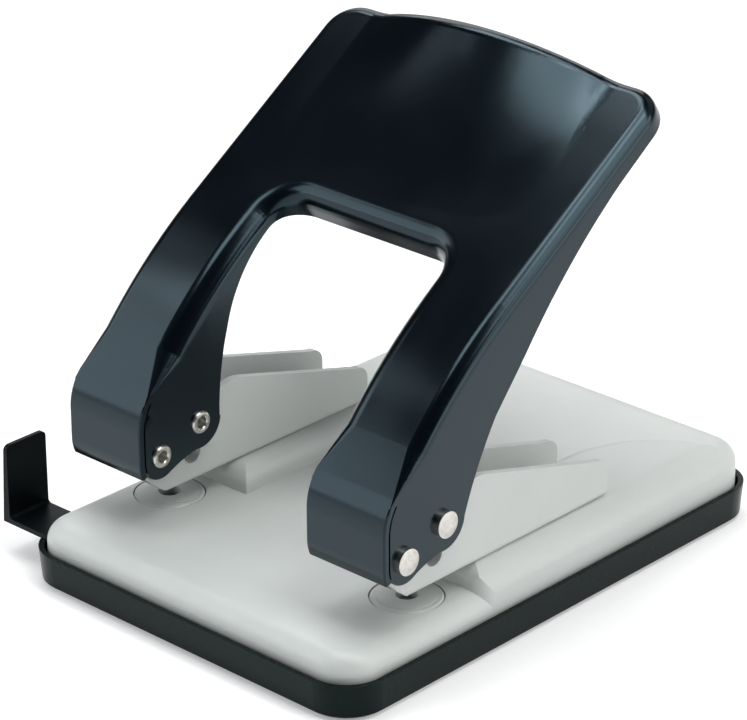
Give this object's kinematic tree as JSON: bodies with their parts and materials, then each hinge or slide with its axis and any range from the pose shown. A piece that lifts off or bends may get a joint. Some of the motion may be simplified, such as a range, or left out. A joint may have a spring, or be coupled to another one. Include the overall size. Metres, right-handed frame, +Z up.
{
  "type": "desk hole punch",
  "caption": "Desk paper punch: a wide sprung lever drives guided punches in steel brackets through a pressed sheet bed, with a chip tray below and a sliding paper guide at one side.",
  "frame": {"origin": "centre of the chip tray's outline, on the surface that the feet stand on", "axes": "+Z up, +Y from the paper side to the back, +X to the right seen from the paper side"},
  "size_m": [0.125, 0.1528, 0.1276],
  "materials": {
    "handle_paint": "satin",
    "cover_paint": "satin",
    "bracket_paint": "satin",
    "tray_plastic": "satin gloss",
    "guide_plastic": "satin",
    "channel_plastic": "matte",
    "rubber": "matte",
    "rivet_nickel": "polished",
    "tool_steel": "ground",
    "spring_steel": "drawn",
    "nylon": "matte"
  },
  "bodies": {
    "base": {"chip_tray": "tray_plastic", "foot_front_left": "rubber", "foot_front_right": "rubber", "foot_rear_left": "rubber", "foot_rear_right": "rubber", "foot_centre": "rubber", "base_cover": "cover_paint", "guide_channel": "channel_plastic", "guide_spring": "spring_steel", "bracket_rivets": "rivet_nickel", "die_left": "tool_steel", "bracket_left": "bracket_paint", "guide_bush_left": "tool_steel", "return_spring_left": "spring_steel", "fulcrum_sleeve_left": "tool_steel", "die_right": "tool_steel", "bracket_right": "bracket_paint", "guide_bush_right": "tool_steel", "return_spring_right": "spring_steel", "fulcrum_sleeve_right": "tool_steel"},
    "handle": {"handle": "handle_paint", "fulcrum_rivet_left": "rivet_nickel", "drive_rivet_left": "rivet_nickel", "fulcrum_washers_left": "nylon", "drive_washers_left": "nylon", "fulcrum_rivet_right": "rivet_nickel", "drive_rivet_right": "rivet_nickel", "fulcrum_washers_right": "nylon", "drive_washers_right": "nylon"},
    "punch_left": {"punch_pin_left": "tool_steel"},
    "punch_right": {"punch_pin_right": "tool_steel"},
    "guide": {"paper_guide": "guide_plastic"}
  },
  "joints": [
    {"name": "handle_hinge", "type": "hinge", "parent": "base", "child": "handle", "pos_m": [0, -0.054, 0.0344], "axis": [1, 0, 0], "range_deg": [-40, 0], "stiffness_Nm_per_rad": 0.4, "springref_deg": 40.11},
    {"name": "punch_left_slide", "type": "slide", "parent": "base", "child": "punch_left", "axis": [0, 0, 1], "range_m": [-0.0097, 0], "deforming": ["return_spring_left"]},
    {"name": "punch_right_slide", "type": "slide", "parent": "base", "child": "punch_right", "axis": [0, 0, 1], "range_m": [-0.0097, 0], "deforming": ["return_spring_right"]},
    {"name": "guide_slide", "type": "slide", "parent": "base", "child": "guide", "axis": [-1, 0, 0], "range_m": [0, 0.07]}
  ],
  "couplings": [
    {"joint": "punch_left_slide", "follows": "handle_hinge", "m_per_rad": 0.01372},
    {"joint": "punch_right_slide", "follows": "handle_hinge", "m_per_rad": 0.01372}
  ]
}
